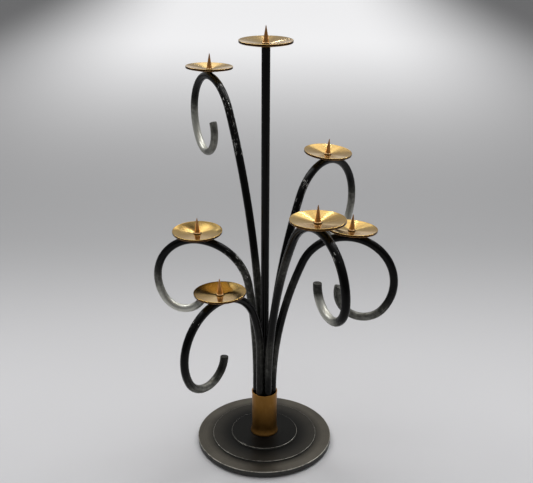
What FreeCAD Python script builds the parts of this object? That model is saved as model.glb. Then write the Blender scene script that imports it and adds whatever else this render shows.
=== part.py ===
import FreeCAD, Part
import math
import os
import re

import Sketcher

# Seven-light candelabrum. A stepped steel foot on felt carries a bundle of seven round bars in a brass
# collar: one straight post and six bars that lean out, turn over under a drip pan and curl to an end.
# Each bar ends, or crests, in a seat for a dished brass pan, held down by a screwed-in spike.
# The origin is on the table in the middle of the foot, +Z is up and +Y points to the back.

# Lengths in millimetres, turns and aims in degrees.
SIZES = {
    # turned foot in three tiers
    "base_radius": 87.5,
    "base_step_radius": 67.5,
    "base_crown_radius": 43,
    "base_edge_height": 7.1,
    "base_tier_rise": 2.2,
    "base_edge_round": 0.9,
    "base_tier_round": 0.4,
    "base_hem_chamfer": 0.6,
    "socket_depth": 2.5,
    # felt under the foot
    "felt_thickness": 1.5,
    "felt_inset": 4,
    # round bar, and how the seven bars stand in the collar
    "rod_diameter": 10,
    "rod_gap": 0.1,
    "rod_end_chamfer": 0.5,
    "bundle_turn": -5,
    "post_length": 506.3,
    # threaded lower end of the post, with its washer and nut
    "shank_radius": 4,
    "shank_stub": 0.5,
    "shank_clearance": 0.2,
    "washer_radius": 8,
    "washer_thickness": 1.6,
    "nut_across_flats": 13,
    "nut_height": 4,
    "nut_clearance": 0.4,
    "recess_radius": 11,
    # brass collar
    "collar_height": 60.4,
    "collar_wall": 1,
    "collar_clearance": 0.1,
    "collar_foot_flare": 1.7,
    "collar_foot_edge": 1.4,
    "collar_foot_height": 11,
    "collar_lip_flare": 0.4,
    "collar_lip_height": 14,
    # drip pan, a shallow turned cone
    "pan_radius": 31,
    "pan_height": 8.2,
    "pan_dish_depth": 4.1,
    "pan_edge_thickness": 2.8,
    "pan_edge_round": 0.5,
    "pan_floor_radius": 5.5,
    "pan_foot_radius": 5,
    "pan_hole_clearance": 0.15,
    # spike with its foot ring and stud
    "spike_length": 20,
    "spike_radius": 3.5,
    "spike_tip_radius": 0.4,
    "spike_ring_radius": 4.2,
    "spike_ring_height": 1.5,
    "spike_ring_round": 0.35,
    "stud_radius": 2,
    "stud_grip": 6,
    "thread_clearance": 0.05,
    "hole_spare_depth": 0.5,
    # flat filed on a bar under its pan
    "seat_depth": 0.4,
    "seat_clearance": 0.8,
    "cut_overrun": 2,
}

# The six bent bars, in order round the bundle. Each one rises straight out of the collar, leans outwards on a
# wide arc, turns over its shoulder to the seat of its pan, goes round an open loop and ends in a tighter curl.
ARMS = {
    "right": {
        "aim": -9,
        "rise": 2.5,
        "lean_radius": 476,
        "lean_turn": 22.5,
        "shoulder_radius": 59,
        "seat_tilt": 3,
        "seat_roll": -3.5,
        "loop_radius": 57,
        "loop_turn": 126,
        "curl_radius": 31,
        "curl_turn": 156,
    },
    "rear_right": {
        "aim": 51.5,
        "rise": 2.5,
        "lean_radius": 528,
        "lean_turn": 27.7,
        "shoulder_radius": 63,
        "seat_tilt": 1.5,
        "seat_roll": 4.5,
        "loop_radius": 63.5,
        "loop_turn": 122.5,
        "curl_radius": 30.5,
        "curl_turn": 150,
    },
    "rear_left": {
        "aim": 116.5,
        "rise": 28,
        "lean_radius": 592,
        "lean_turn": 32.7,
        "shoulder_radius": 71.5,
        "seat_tilt": 1.5,
        "seat_roll": 2,
        "loop_radius": 56,
        "loop_turn": 136,
        "curl_radius": 30,
        "curl_turn": 163,
    },
    "left": {
        "aim": 167,
        "rise": 21.5,
        "lean_radius": 776,
        "lean_turn": 9.4,
        "shoulder_radius": 66,
        "seat_tilt": 0,
        "seat_roll": -1.5,
        "loop_radius": 54,
        "loop_turn": 123,
        "curl_radius": 28.5,
        "curl_turn": 135,
    },
    "front_left": {
        "aim": 228,
        "rise": 58,
        "lean_radius": 158,
        "lean_turn": 22.3,
        "shoulder_radius": 62.5,
        "seat_tilt": 0,
        "seat_roll": 2,
        "loop_radius": 60,
        "loop_turn": 118,
        "curl_radius": 31,
        "curl_turn": 148.5,
    },
    "front_right": {
        "aim": -63.5,
        "rise": 2.5,
        "lean_radius": 469,
        "lean_turn": 29.8,
        "shoulder_radius": 65,
        "seat_tilt": -1,
        "seat_roll": -0.5,
        "loop_radius": 61.5,
        "loop_turn": 92.5,
        "curl_radius": 30,
        "curl_turn": 180.5,
    },
}
for arm, arm_sizes in ARMS.items():
    SIZES.update({f"{arm}_{name}": value for name, value in arm_sizes.items()})

# Sizes and levels that several pieces share.
BASE_STEP = "(base_edge_height + base_tier_rise)"
BASE_CROWN = f"({BASE_STEP} + base_tier_rise)"
CROWN_LEVEL = f"(felt_thickness + {BASE_CROWN})"
SOCKET_LEVEL = f"({CROWN_LEVEL} - socket_depth)"
RECESS_DEPTH = "(washer_thickness + nut_height + shank_stub + nut_clearance)"
ROD_RADIUS = "(rod_diameter / 2)"
ROD_PITCH = "(rod_diameter + rod_gap)"
BUNDLE_RADIUS = f"({ROD_PITCH} + {ROD_RADIUS} + collar_clearance)"
COLLAR_WAIST = f"({BUNDLE_RADIUS} + collar_wall)"
SHANK_HOLE = "(shank_radius + shank_clearance)"
STUD_HOLE = "(stud_radius + thread_clearance)"
STUD_HOLE_DEPTH = "(stud_grip + hole_spare_depth)"
PAN_FLOOR = "(pan_height - pan_dish_depth)"
SEAT_LEVEL = f"({ROD_RADIUS} - seat_depth)"

FULL_TURN = 360
QUARTER_TURN = 90
HALF_TURN = 180
NUT_SIDES = 6
CUBIC_MM_PER_CM3 = 1000
# Two places nearer than this are the same place.
SAME_PLACE = 0.001

doc = FreeCAD.newDocument("candelabrum")
sheet = doc.addObject("Spreadsheet::Sheet", "sizes")
for row, (alias, value) in enumerate(SIZES.items(), start=1):
    sheet.set(f"A{row}", alias)
    sheet.set(f"B{row}", str(value))
    sheet.setAlias(f"B{row}", alias)
doc.recompute()


def sized(text):
    """Return an expression with every size in it read from the sheet."""
    return re.sub(r"[a-z_]+", lambda word: f"sizes.{word[0]}" if word[0] in SIZES else word[0], text)


def number(text):
    """Return the value of an expression in the sheet's sizes."""
    return float(sheet.evalExpression(sized(text)))


def bind(thing, field, text):
    """Tie a field of an object to an expression in the sheet's sizes."""
    thing.setExpression(field, sized(text))


def frame(x="0", y="0", z="0", yaw="0", pitch="0", roll="0"):
    """Return the expression of a placement."""
    return f"placement(vector({x}; {y}; {z}); rotation({yaw}; {pitch}; {roll}))"


def add_body(label):
    """Return a new, empty body."""
    body = doc.addObject("PartDesign::Body", label)
    body.Label = label
    return body


def add_sketch(body, name, role):
    """Return a new sketch on one of the body's own origin planes."""
    plane = next(item for item in body.Origin.OriginFeatures if item.Role == role)
    sketch = body.newObject("Sketcher::SketchObject", f"{body.Name}_{name}")
    sketch.AttachmentSupport = [(plane, "")]
    sketch.MapMode = "FlatFace"
    return sketch


def dimension(sketch, name, text, *constraint):
    """Add a named dimension to a sketch and tie it to an expression."""
    index = sketch.addConstraint(Sketcher.Constraint(*constraint))
    sketch.renameConstraint(index, name)
    bind(sketch, f"Constraints.{name}", text)


def flared_edge(corner, waist, along):
    """Return an arc that leaves a corner and meets a line at its end, with its two point numbers.

    The line starts at waist and runs along the given direction."""
    across = FreeCAD.Vector(-along.y, along.x, 0)
    chord = corner - waist
    centre = waist + across * (chord.Length**2 / (2 * across.dot(chord)))
    circle = Part.Circle(centre, FreeCAD.Vector(0, 0, 1), (corner - centre).Length)
    first, last = circle.parameter(corner), circle.parameter(waist)
    if (corner - centre).cross(waist - centre).z > 0:
        return Part.ArcOfCircle(circle, first, last), 1, 2
    return Part.ArcOfCircle(circle, last, first), 2, 1


def draw_outline(sketch, corners, flares=()):
    """Draw a closed outline through corners given as pairs of expressions.

    The edges numbered in flares are arcs, smooth with the straight edge after them where the number is
    positive and with the one before where it is negative."""
    points = [FreeCAD.Vector(number(x), number(y), 0) for x, y in corners]
    count = len(points)
    starts, ends = [], []
    for index, point in enumerate(points):
        after = points[(index + 1) % count]
        edge, start, end = Part.LineSegment(point, after), 1, 2
        if index in flares:
            onward = (points[(index + 2) % count] - after).normalize()
            edge, start, end = flared_edge(point, after, onward)
        elif -index in flares:
            onward = (point - points[index - 1]).normalize()
            edge, end, start = flared_edge(after, point, onward)
        sketch.addGeometry(edge)
        starts.append(start)
        ends.append(end)
    for index in range(count):
        after = (index + 1) % count
        smooth = index in flares or (after and -after in flares)
        kind = "Tangent" if smooth else "Coincident"
        sketch.addConstraint(Sketcher.Constraint(kind, index, ends[index], after, starts[after]))
    for index, (x, y) in enumerate(corners):
        spot = (index, starts[index])
        if x == "0":
            sketch.addConstraint(Sketcher.Constraint("PointOnObject", *spot, -2))
        else:
            dimension(sketch, f"across_{index}", x, "DistanceX", -1, 1, *spot, number(x))
        if y == "0":
            sketch.addConstraint(Sketcher.Constraint("PointOnObject", *spot, -1))
        else:
            dimension(sketch, f"height_{index}", y, "DistanceY", -1, 1, *spot, number(y))


def add_turned(label, corners, flares=()):
    """Return a body turned about its upright axis from an outline of (radius, height) corners."""
    body = add_body(label)
    sketch = add_sketch(body, "outline", "XZ_Plane")
    draw_outline(sketch, corners, flares)
    turned = body.newObject("PartDesign::Revolution", f"{label}_turned")
    turned.Profile = sketch
    turned.ReferenceAxis = (sketch, ["V_Axis"])
    turned.Angle = FULL_TURN
    doc.recompute()
    return body


def dress_edges(body, kind, size, places):
    """Round or chamfer the circular edges at the given (radius, height) places of a turned body."""
    base = body.Tip
    wanted = [(number(radius), number(height)) for radius, height in places]
    names = []
    for index, edge in enumerate(base.Shape.Edges, start=1):
        if not isinstance(edge.Curve, Part.Circle):
            continue
        here = (edge.Curve.Radius, edge.Curve.Center.z)
        if any(math.dist(here, place) < SAME_PLACE for place in wanted):
            names.append(f"Edge{index}")
    dressed = body.newObject(f"PartDesign::{kind}", f"{body.Name}_{kind.lower()}_{size}")
    dressed.Base = (base, names)
    bind(dressed, "Radius" if kind == "Fillet" else "Size", size)
    doc.recompute()


def add_base():
    """The foot: three tiers, a socket for the bars on top and a recess for the nut below."""
    socket_floor = f"({BASE_CROWN} - socket_depth)"
    body = add_turned("base_plate", [
        ("recess_radius", "0"),
        ("base_radius", "0"),
        ("base_radius", "base_edge_height"),
        ("base_step_radius", "base_edge_height"),
        ("base_step_radius", BASE_STEP),
        ("base_crown_radius", BASE_STEP),
        ("base_crown_radius", BASE_CROWN),
        (BUNDLE_RADIUS, BASE_CROWN),
        (BUNDLE_RADIUS, socket_floor),
        (SHANK_HOLE, socket_floor),
        (SHANK_HOLE, RECESS_DEPTH),
        ("recess_radius", RECESS_DEPTH),
    ])
    dress_edges(body, "Fillet", "base_edge_round", [("base_radius", "base_edge_height")])
    dress_edges(body, "Fillet", "base_tier_round", [
        ("base_step_radius", BASE_STEP),
        ("base_crown_radius", BASE_CROWN),
    ])
    dress_edges(body, "Chamfer", "base_hem_chamfer", [("base_radius", "0")])
    bind(body, "Placement", frame(z="felt_thickness"))
    return body


def add_felt():
    """The felt disc glued under the foot."""
    felt = doc.addObject("Part::Cylinder", "felt_pad")
    bind(felt, "Radius", "base_radius - felt_inset")
    bind(felt, "Height", "felt_thickness")
    return felt


def add_post():
    """The straight bar, with its threaded shank below and the hole for a spike on top."""
    shank_end = f"(socket_depth + nut_clearance - {BASE_CROWN})"
    body = add_turned("centre_post", [
        ("0", shank_end),
        ("shank_radius", shank_end),
        ("shank_radius", "0"),
        (ROD_RADIUS, "0"),
        (ROD_RADIUS, "post_length"),
        (STUD_HOLE, "post_length"),
        (STUD_HOLE, f"post_length - {STUD_HOLE_DEPTH}"),
        ("0", f"post_length - {STUD_HOLE_DEPTH}"),
    ])
    dress_edges(body, "Chamfer", "rod_end_chamfer", [("shank_radius", shank_end), (ROD_RADIUS, "post_length")])
    bind(body, "Placement", frame(z=SOCKET_LEVEL))
    return body


def add_washer():
    """The plain washer under the foot."""
    disc = doc.addObject("Part::Cylinder", "washer_disc")
    bore = doc.addObject("Part::Cylinder", "washer_bore")
    bind(disc, "Radius", "washer_radius")
    bind(bore, "Radius", SHANK_HOLE)
    for piece in (disc, bore):
        bind(piece, "Height", "washer_thickness")
    washer = doc.addObject("Part::Cut", "post_washer")
    washer.Base = disc
    washer.Tool = bore
    bind(washer, "Placement", frame(z=f"felt_thickness + {RECESS_DEPTH} - washer_thickness"))
    return washer


def add_nut():
    """The thin hexagon nut on the post's shank."""
    hexagon = doc.addObject("Part::Prism", "nut_hexagon")
    hexagon.Polygon = NUT_SIDES
    bore = doc.addObject("Part::Cylinder", "nut_bore")
    bind(hexagon, "Circumradius", f"nut_across_flats / 2 / cos({HALF_TURN / NUT_SIDES} * 1 deg)")
    bind(bore, "Radius", "shank_radius + thread_clearance")
    for piece in (hexagon, bore):
        bind(piece, "Height", "nut_height")
    nut = doc.addObject("Part::Cut", "post_nut")
    nut.Base = hexagon
    nut.Tool = bore
    bind(nut, "Placement", frame(z="felt_thickness + nut_clearance + shank_stub"))
    return nut


def add_collar():
    """The brass sleeve that stands on the foot round the bars, flared at its foot and a little at its lip."""
    foot_radius = f"({COLLAR_WAIST} + collar_foot_flare)"
    body = add_turned("collar", [
        (BUNDLE_RADIUS, "0"),
        (foot_radius, "0"),
        (foot_radius, "collar_foot_edge"),
        (COLLAR_WAIST, "collar_foot_height"),
        (COLLAR_WAIST, "collar_height - collar_lip_height"),
        (f"{COLLAR_WAIST} + collar_lip_flare", "collar_height"),
        (BUNDLE_RADIUS, "collar_height"),
    ], flares=(2, -4))
    bind(body, "Placement", frame(z=CROWN_LEVEL))
    return body


def arm_bends(arm):
    """Return the (name, radius, turn) expressions of a bent bar's four arcs, from the collar to its end."""
    shoulder_turn = f"({QUARTER_TURN} + {arm}_seat_tilt - {arm}_lean_turn)"
    return [
        ("lean", f"{arm}_lean_radius", f"{arm}_lean_turn"),
        ("shoulder", f"{arm}_shoulder_radius", shoulder_turn),
        ("loop", f"{arm}_loop_radius", f"{arm}_loop_turn"),
        ("curl", f"{arm}_curl_radius", f"{arm}_curl_turn"),
    ]


def arm_straight(arm):
    """Return the expression of a bent bar's straight length, from the socket to its first bend."""
    return f"(socket_depth + collar_height + {arm}_rise)"


def seat_frame(arm):
    """Return the (out, up) expressions of the point of a bent bar's middle line under its pan."""
    lean = f"{arm}_lean_turn * 1 deg"
    seat = f"({QUARTER_TURN} + {arm}_seat_tilt) * 1 deg"
    lean_radius, shoulder_radius = f"{arm}_lean_radius", f"{arm}_shoulder_radius"
    out = f"{lean_radius} * (1 - cos({lean})) + {shoulder_radius} * (cos({lean}) - cos({seat}))"
    rise = f"{lean_radius} * sin({lean}) + {shoulder_radius} * (sin({seat}) - sin({lean}))"
    return f"({out})", f"({arm_straight(arm)} + {rise})"


def draw_bar_path(sketch, arm):
    """Draw a bent bar's middle line and return its far end."""
    turned = 0
    end = FreeCAD.Vector(0, number(arm_straight(arm)), 0)
    sketch.addGeometry(Part.LineSegment(FreeCAD.Vector(0, 0, 0), end))
    sketch.addConstraint(Sketcher.Constraint("Coincident", 0, 1, -1, 1))
    sketch.addConstraint(Sketcher.Constraint("Vertical", 0))
    dimension(sketch, "straight", arm_straight(arm), "Distance", 0, end.y)
    for index, (name, radius, turn) in enumerate(arm_bends(arm), start=1):
        heading = math.radians(turned)
        centre = end + FreeCAD.Vector(math.cos(heading), -math.sin(heading), 0) * number(radius)
        circle = Part.Circle(centre, FreeCAD.Vector(0, 0, 1), number(radius))
        first, last = HALF_TURN - turned - number(turn), HALF_TURN - turned
        arc = Part.ArcOfCircle(circle, math.radians(first), math.radians(last))
        sketch.addGeometry(arc)
        sketch.addConstraint(Sketcher.Constraint("Tangent", index - 1, 2 if index == 1 else 1, index, 2))
        dimension(sketch, f"{name}_radius", radius, "Radius", index, number(radius))
        dimension(sketch, f"{name}_turn", f"{turn} * 1 deg", "Angle", index, math.radians(number(turn)))
        turned += number(turn)
        end = arc.StartPoint
    return end


def add_arm(arm, place):
    """A bent bar: its round section swept along its middle line, with the flat and the hole under its pan."""
    body = add_body(f"arm_{arm}")
    path = add_sketch(body, "path", "XZ_Plane")
    end = draw_bar_path(path, arm)
    section = add_sketch(body, "section", "XY_Plane")
    section.addGeometry(Part.Circle(FreeCAD.Vector(0, 0, 0), FreeCAD.Vector(0, 0, 1), number(ROD_RADIUS)))
    section.addConstraint(Sketcher.Constraint("Coincident", 0, 3, -1, 1))
    dimension(section, "rod", "rod_diameter", "Diameter", 0, number("rod_diameter"))
    bar = body.newObject("PartDesign::AdditivePipe", f"{body.Name}_bar")
    bar.Profile = section
    bar.Spine = (path, [f"Edge{index}" for index in range(1, path.GeometryCount + 1)])
    doc.recompute()

    far_end = FreeCAD.Vector(end.x, 0, end.y)
    end_edges = [
        f"Edge{index}" for index, edge in enumerate(bar.Shape.Edges, start=1)
        if edge.isClosed() and edge.CenterOfMass.distanceToPoint(far_end) < SAME_PLACE
    ]
    chamfer = body.newObject("PartDesign::Chamfer", f"{body.Name}_end")
    chamfer.Base = (bar, end_edges)
    bind(chamfer, "Size", "rod_end_chamfer")
    doc.recompute()

    out, up = seat_frame(arm)
    seat = add_sketch(body, "seat", "XZ_Plane")
    draw_outline(seat, [
        ("0", f"{SEAT_LEVEL} - {STUD_HOLE_DEPTH}"),
        (STUD_HOLE, f"{SEAT_LEVEL} - {STUD_HOLE_DEPTH}"),
        (STUD_HOLE, SEAT_LEVEL),
        ("pan_foot_radius + seat_clearance", SEAT_LEVEL),
        ("pan_foot_radius + seat_clearance", f"{ROD_RADIUS} + cut_overrun"),
        ("0", f"{ROD_RADIUS} + cut_overrun"),
    ])
    bind(seat, "AttachmentOffset", frame(x=out, y=up, yaw=f"-{arm}_seat_tilt", roll=f"{arm}_seat_roll"))
    cut = body.newObject("PartDesign::Groove", f"{body.Name}_seat_cut")
    cut.Profile = seat
    cut.ReferenceAxis = (seat, ["V_Axis"])
    cut.Angle = FULL_TURN
    doc.recompute()
    if not body.Shape.Volume < chamfer.Shape.Volume:
        raise RuntimeError(f"the seat of {body.Label} cuts nothing")

    spot = f"(bundle_turn + {place} * {FULL_TURN / len(ARMS)}) * 1 deg"
    foot_x, foot_y = f"{ROD_PITCH} * cos({spot})", f"{ROD_PITCH} * sin({spot})"
    bind(body, "Placement", frame(x=foot_x, y=foot_y, z=SOCKET_LEVEL, yaw=f"{arm}_aim"))
    return body


def add_pan(light, seat):
    """A drip pan: a shallow cone with a thick edge, a flat foot below and a flat floor for the spike's ring."""
    hole = "(stud_radius + pan_hole_clearance)"
    body = add_turned(f"pan_{light}", [
        (hole, "0"),
        ("pan_foot_radius", "0"),
        ("pan_radius", "pan_height - pan_edge_thickness"),
        ("pan_radius", "pan_height"),
        ("pan_floor_radius", PAN_FLOOR),
        (hole, PAN_FLOOR),
    ])
    dress_edges(body, "Fillet", "pan_edge_round", [
        ("pan_radius", "pan_height - pan_edge_thickness"),
        ("pan_radius", "pan_height"),
    ])
    bind(body, "Placement", seat)
    return body


def add_pricket(light):
    """The spike of a drip pan: a slim cone on a foot ring, with the stud that screws into the bar."""
    stud_end = f"-({PAN_FLOOR} + stud_grip)"
    body = add_turned(f"pricket_{light}", [
        ("0", stud_end),
        ("stud_radius", stud_end),
        ("stud_radius", "0"),
        ("spike_ring_radius", "0"),
        ("spike_ring_radius", "spike_ring_height"),
        ("spike_radius", "spike_ring_height"),
        ("spike_tip_radius", "spike_length"),
        ("0", "spike_length"),
    ])
    dress_edges(body, "Fillet", "spike_ring_round", [("spike_ring_radius", "spike_ring_height")])
    bind(body, "Placement", f"pan_{light}.Placement * {frame(z=PAN_FLOOR)}")
    return body


def add_light(light, seat):
    """A drip pan on its seat and the spike that holds it."""
    return [add_pan(light, seat), add_pricket(light)]


def build():
    """Build every piece and return them all."""
    pieces = [add_base(), add_felt(), add_post(), add_washer(), add_nut(), add_collar()]
    pieces += add_light("top", frame(z=f"{SOCKET_LEVEL} + post_length"))
    for place, arm in enumerate(ARMS):
        pieces.append(add_arm(arm, place))
        out, up = seat_frame(arm)
        crest = frame(x=out, z=up, pitch=f"{arm}_seat_tilt", roll=f"{arm}_seat_roll")
        pieces += add_light(arm, f"arm_{arm}.Placement * {crest} * {frame(z=SEAT_LEVEL)}")
    doc.recompute()
    return pieces


def check(pieces):
    """Stop if any object failed or any piece isn't one sound solid."""
    for item in doc.Objects:
        if {"Invalid", "Error"} & set(item.State):
            raise RuntimeError(f"{item.Label} failed: {item.State}")
    for piece in pieces:
        if piece.Shape.isNull() or not piece.Shape.isValid() or len(piece.Shape.Solids) != 1:
            raise RuntimeError(f"{piece.Label} isn't one sound solid")


def export(pieces):
    """Write each piece to its own file."""
    os.makedirs("parts", exist_ok=True)
    for piece in pieces:
        piece.Shape.exportStep(os.path.join("parts", f"{piece.Label}.step"))
        print(f"{piece.Label}: {piece.Shape.Volume / CUBIC_MM_PER_CM3:.2f} cm3")


all_pieces = build()
check(all_pieces)
export(all_pieces)
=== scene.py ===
"""A seven-light pricket candelabrum on a studio table.

A stepped iron foot on felt carries a bundle of seven round bars in a brass collar. One bar stands straight
and six lean out, turn over and curl to an end. Each bar carries a turned brass drip pan, which a spike holds
down. Lengths are in metres, and angles in degrees unless a name says otherwise.
"""
import logging
import math
from collections.abc import Sequence
from dataclasses import dataclass
from enum import Enum

import bmesh
import bpy
from mathutils import Matrix, Vector


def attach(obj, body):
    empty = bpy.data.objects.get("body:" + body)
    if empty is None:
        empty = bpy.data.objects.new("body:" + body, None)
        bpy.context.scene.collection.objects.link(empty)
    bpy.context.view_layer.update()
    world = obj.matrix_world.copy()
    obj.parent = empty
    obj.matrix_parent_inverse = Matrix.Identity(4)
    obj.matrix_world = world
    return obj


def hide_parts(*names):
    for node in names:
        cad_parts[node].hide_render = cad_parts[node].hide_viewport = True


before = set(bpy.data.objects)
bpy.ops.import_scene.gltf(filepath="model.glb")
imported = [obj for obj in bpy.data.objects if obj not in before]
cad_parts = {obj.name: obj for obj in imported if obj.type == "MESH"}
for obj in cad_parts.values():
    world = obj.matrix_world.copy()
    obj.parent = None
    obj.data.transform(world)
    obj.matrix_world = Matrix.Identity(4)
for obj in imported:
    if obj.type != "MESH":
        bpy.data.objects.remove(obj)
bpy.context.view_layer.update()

BODY = "root"
log = logging.getLogger("candelabrum")

Colour = tuple[float, float, float]
Place = tuple[float, float, float]
Spot = tuple[float, float]
Range = tuple[float, float]
Piece = bpy.types.Object
Material = bpy.types.Material
Node = bpy.types.Node
Socket = bpy.types.NodeSocket
Input = float | Sequence[float] | Socket

# The bar stock, and the chamfer on its ends.
BAR_RADIUS = 0.005
BAR_CHAMFER = 0.0005
# Two spots nearer than this are the same spot.
SAME_SPOT = 1e-5
MERGE_GAP = 1e-6
# A face that runs into a rounded edge has a ring this far before its end, so that it shades true up to there.
HOLD = 0.0012
SMOOTH_ANGLE = math.radians(32)
# The share of a turn that spreads the gloss of lathe marks across them.
ACROSS_MARKS = 0.25
WHITE: Colour = (1.0, 1.0, 1.0)

# Patterns that follow a piece read these from its mesh.
OWN_PLACE = "own_place"
# The bareness of the black, with painted sheen added in: lighter steel painted where light falls on the bars.
BARE_AND_SHEEN = "bare"
SCUFF = "scuff"


class Slot(Enum):
    """The record's material slot for each kind of piece made here; the pieces are not given these names."""

    FOOT = "blackened_base"
    BAR = "blackened_steel"
    COLLAR = "aged_brass"
    PAN = "turned_brass"
    SPIKE = "spike_brass"
    FELT = "felt"


class Seat(Enum):
    """Where a light stands. The value ends the names of its nodes."""

    TOP = "top"
    RIGHT = "right"
    REAR_RIGHT = "rear_right"
    REAR_LEFT = "rear_left"
    LEFT = "left"
    FRONT_LEFT = "front_left"
    FRONT_RIGHT = "front_right"


def smooth_step(share: float) -> float:
    """Return a share between 0 and 1, eased at both ends."""
    share = max(0.0, min(1.0, share))
    return share * share * (3 - 2 * share)


def around(value: float, shifts: Range) -> Range:
    """Return a value moved by each of two shifts."""
    return value + shifts[0], value + shifts[1]


def upright(spot: Spot) -> Vector:
    """Return the point of the XZ plane at a (radius, height) spot."""
    return Vector((spot[0], 0, spot[1]))


def held(start: Spot, end: Spot) -> list[Spot]:
    """Return the spots just inside both ends of a straight line of an outline."""
    share = HOLD / math.dist(start, end)
    return [tuple(a + (b - a) * part for a, b in zip(start, end)) for part in (share, 1 - share)]


def arc_spots(corner: Spot, waist: Spot, steps: int) -> list[Spot]:
    """Return the spots of an arc that leaves a corner and runs smoothly into an upright line.

    Args:
        corner: Start of the arc.
        waist: End of the arc, where its tangent is upright.
        steps: Number of chords.

    Returns:
        The (radius, height) spots in order, both ends included.
    """
    across = corner[0] - waist[0]
    along = corner[1] - waist[1]
    radius = (across**2 + along**2) / (2 * abs(across))
    turn = math.asin(abs(along) / radius)
    spots = []
    for step in range(steps + 1):
        angle = turn * (1 - step / steps)
        out = waist[0] + math.copysign(radius * (1 - math.cos(angle)), across)
        up = waist[1] + math.copysign(radius * math.sin(angle), along)
        spots.append((out, up))
    return spots


class Workpiece:
    """A mesh on the bench, shaped with edit-mode operators."""

    def __init__(self, name: str) -> None:
        """Take the primitive that was just added as the blank, and open it for editing.

        Args:
            name: Name of the piece.
        """
        self.piece: Piece = bpy.context.object
        self.piece.name = name
        self.piece.data.name = name
        bpy.ops.object.transform_apply(location=True, rotation=True, scale=True)
        bpy.ops.object.mode_set(mode="EDIT")
        bpy.ops.mesh.select_mode(type="VERT")

    @classmethod
    def from_disc(cls, name: str, radius: float, sides: int, height: float = 0.0) -> "Workpiece":
        """Start from a flat disc.

        Args:
            name: Name of the piece.
            radius: Radius of the disc.
            sides: Number of its sides.
            height: Level of the disc.

        Returns:
            The blank, with its face selected.
        """
        bpy.ops.object.select_all(action="DESELECT")
        bpy.ops.mesh.primitive_circle_add(
            vertices=sides, radius=radius, fill_type="NGON", location=(0, 0, height)
        )
        return cls(name)

    @classmethod
    def turned(cls, name: str, outline: Sequence[Spot], steps: int) -> "Workpiece":
        """Turn a closed outline about the upright axis.

        Args:
            name: Name of the piece.
            outline: The (radius, height) corners in order.
            steps: Number of steps of the full turn.

        Returns:
            The turned piece.
        """
        bpy.ops.object.select_all(action="DESELECT")
        bpy.ops.mesh.primitive_plane_add(size=MERGE_GAP, location=upright(outline[0]))
        work = cls(name)
        bpy.ops.mesh.merge(type="CENTER")
        ends = list(outline[1:]) + [outline[0]]
        for start, end in zip(outline, ends):
            work.extrude(upright(end) - upright(start))
        bpy.ops.mesh.select_all(action="SELECT")
        bpy.ops.mesh.remove_doubles(threshold=MERGE_GAP)
        bpy.ops.mesh.spin(steps=steps, angle=math.tau, center=(0, 0, 0), axis=(0, 0, 1))
        work.close()
        return work

    def pick_rings(self, spots: Sequence[Spot]) -> None:
        """Select round edges of a turned piece.

        Args:
            spots: The (radius, height) of each edge.
        """

        def on_ring(vert: bmesh.types.BMVert, spot: Spot) -> bool:
            """Say whether a point lies at a spot."""
            here = (math.hypot(vert.co.x, vert.co.y), vert.co.z)
            return math.dist(here, spot) < SAME_SPOT

        bpy.ops.mesh.select_mode(type="EDGE")
        bpy.ops.mesh.select_all(action="DESELECT")
        mesh = bmesh.from_edit_mesh(self.piece.data)
        for edge in mesh.edges:
            edge.select_set(any(all(on_ring(vert, spot) for vert in edge.verts) for spot in spots))
        bmesh.update_edit_mesh(self.piece.data)

    def raise_by(self, height: float) -> None:
        """Extrude the selection upwards."""
        self.extrude(Vector((0, 0, height)))

    def extrude(self, shift: Vector) -> None:
        """Extrude the selection by a shift."""
        bpy.ops.mesh.extrude_region_move(TRANSFORM_OT_translate={"value": shift})

    def inset(self, width: float) -> None:
        """Inset the selected face."""
        bpy.ops.mesh.inset(thickness=width, use_even_offset=True)

    def round_rings(self, spots: Sequence[Spot], width: float, segments: int) -> None:
        """Round the edges at (radius, height) spots of a turned piece."""
        self.pick_rings(spots)
        bpy.ops.mesh.bevel(offset=width, offset_type="OFFSET", segments=segments, affect="EDGES")

    def close(self) -> None:
        """Merge doubled points and turn every face outwards."""
        bpy.ops.mesh.select_all(action="SELECT")
        bpy.ops.mesh.remove_doubles(threshold=MERGE_GAP)
        bpy.ops.mesh.normals_make_consistent(inside=False)

    def lift_off(self) -> Piece:
        """Leave edit mode and shade the piece smooth up to its sharp edges.

        Returns:
            The shaped piece.
        """
        bpy.ops.object.mode_set(mode="OBJECT")
        bpy.ops.object.shade_smooth_by_angle(angle=SMOOTH_ANGLE)
        return self.piece


def set_down(piece: Piece, place: Matrix) -> None:
    """Move a piece to its place and put that place into its mesh.

    Args:
        piece: The piece, which becomes the active object.
        place: Frame that it moves to.
    """
    bpy.ops.object.select_all(action="DESELECT")
    piece.select_set(True)
    bpy.context.view_layer.objects.active = piece
    piece.matrix_world = place @ piece.matrix_world
    bpy.ops.object.transform_apply(location=True, rotation=True, scale=True)


def note(piece: Piece, name: str, values: Sequence[float] | Sequence[Vector]) -> None:
    """Store one value, or one vector, for each point of a piece.

    Args:
        piece: The piece.
        name: Name of the attribute.
        values: A value for each point, in order.
    """
    vectors = isinstance(values[0], Vector)
    attribute = piece.data.attributes.new(name, "FLOAT_VECTOR" if vectors else "FLOAT", "POINT")
    for item, value in zip(attribute.data, values):
        if vectors:
            item.vector = value
        else:
            item.value = value


def note_own_place(piece: Piece) -> None:
    """Store where each point of a piece lies now."""
    note(piece, OWN_PLACE, [vert.co.copy() for vert in piece.data.vertices])


def dress(piece: Piece, finish: Material) -> None:
    """Give a piece one finish all over."""
    piece.data.materials.clear()
    piece.data.materials.append(finish)


def hand_over(piece: Piece, node: str, finish: Material) -> None:
    """Dress a piece and let it stand for a node of the frame.

    Args:
        piece: The piece, in its place.
        node: Name of the node that it replaces.
        finish: Its material.
    """
    dress(piece, finish)
    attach(piece, BODY)
    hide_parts(node)
    log.info("%s stands for %s: %d faces, %s", piece.name, node, len(piece.data.polygons), finish.name)


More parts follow.
